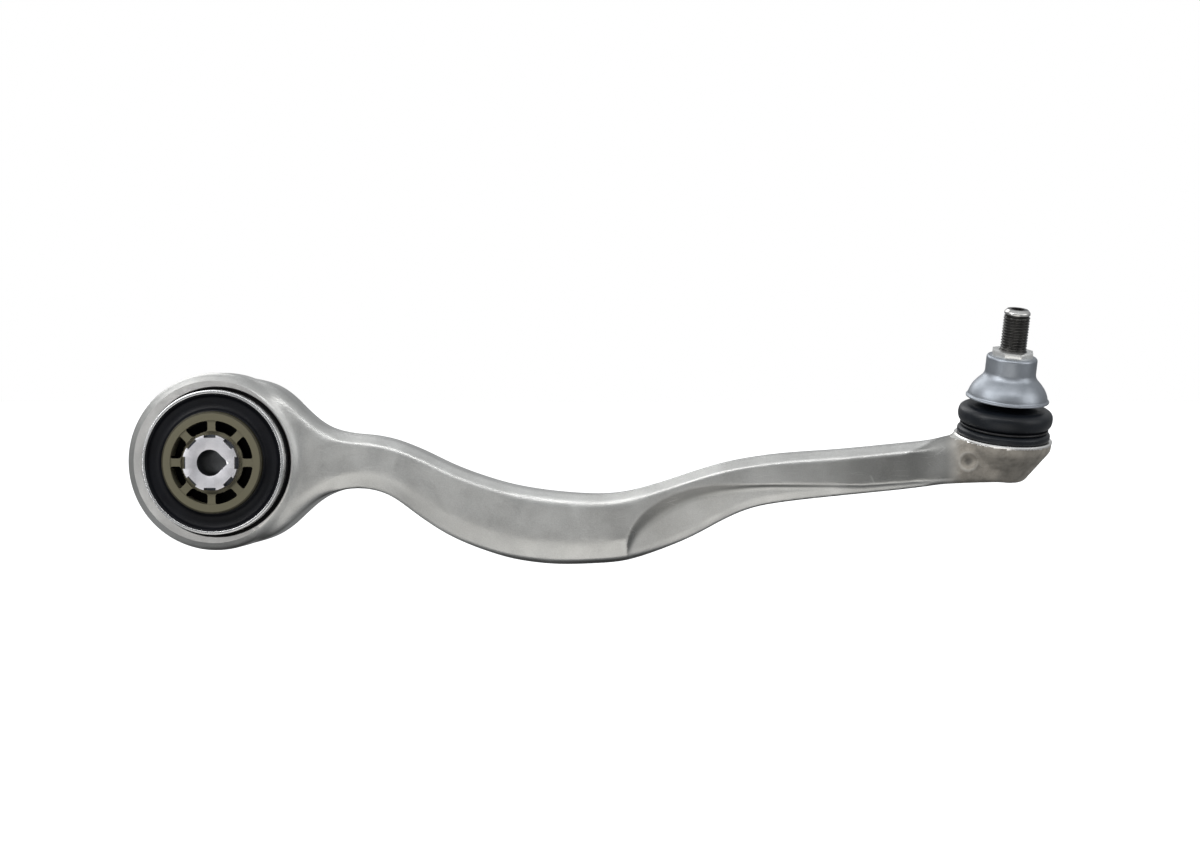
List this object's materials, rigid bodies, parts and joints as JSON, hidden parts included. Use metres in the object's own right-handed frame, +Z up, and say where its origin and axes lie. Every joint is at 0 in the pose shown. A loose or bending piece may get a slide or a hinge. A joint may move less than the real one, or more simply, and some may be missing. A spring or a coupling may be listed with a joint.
{
  "type": "suspension control arm",
  "caption": "Forged curved tension strut with a fluid-filled rubber bush in its eye and a booted ball joint with a threaded stud.",
  "frame": {"origin": "centre of the bush bore, midway along its length", "axes": "+X from the bush to the ball joint, +Y along the bush bore towards the rear face, +Z up, the way the ball stud points"},
  "size_m": [0.4991, 0.069, 0.138],
  "materials": {
    "forged_aluminium": "satin forged, slightly brown near the ball housing",
    "sleeve_steel": "bright zinc",
    "bush_rubber": "moulded, satin black",
    "cage_steel": "plain steel, bonded in rubber",
    "channel_plastic": "glass-filled moulding",
    "core_plastic": "olive-brown glass-filled moulding",
    "inner_aluminium": "sawn and turned",
    "seat_plastic": "natural acetal",
    "ring_steel": "spring steel",
    "boot_rubber": "smooth black with a slight sheen",
    "stud_steel": "dark phosphated, oiled",
    "shield_coating": "satin blue-grey coating",
    "collar_steel": "bright, white to silver"
  },
  "bodies": {
    "arm": {"arm_forging": "forged_aluminium", "bush_outer_sleeve": "sleeve_steel", "rubber_spring": "bush_rubber", "window_cage": "cage_steel", "channel_shell_upper": "channel_plastic", "channel_shell_lower": "channel_plastic", "ball_seat": "seat_plastic", "retaining_ring": "ring_steel"},
    "bush_core": {"inner_sleeve": "inner_aluminium", "core_moulding": "core_plastic", "travel_stop_left": "core_plastic", "travel_stop_right": "core_plastic"},
    "boot": {"ball_boot": "boot_rubber", "boot_ring_lower": "ring_steel"},
    "boot_lip": {"boot_ring_upper": "ring_steel"},
    "stud": {"ball_stud": "stud_steel", "dust_shield": "shield_coating", "seat_collar": "collar_steel"}
  },
  "joints": [
    {"name": "bush_twist", "type": "hinge", "parent": "arm", "child": "bush_core", "pos_m": [0, 0, 0], "axis": [0, 1, 0], "range_deg": [-15, 15], "stiffness_Nm_per_rad": 60},
    {"name": "tilt_direction", "type": "hinge", "parent": "arm", "child": "boot", "pos_m": [0.422, 0, 0.009], "axis": [0.1022, -0.2079, 0.9728], "continuous": true},
    {"name": "ball_tilt", "type": "hinge", "parent": "boot", "child": "boot_lip", "pos_m": [0.422, 0, 0.009], "axis": [0.0217, 0.9781, 0.2068], "range_deg": [-18, 18], "deforming": ["ball_boot"]},
    {"name": "stud_spin", "type": "hinge", "parent": "boot_lip", "child": "stud", "pos_m": [0.422, 0, 0.009], "axis": [0.1022, -0.2079, 0.9728], "continuous": true}
  ]
}
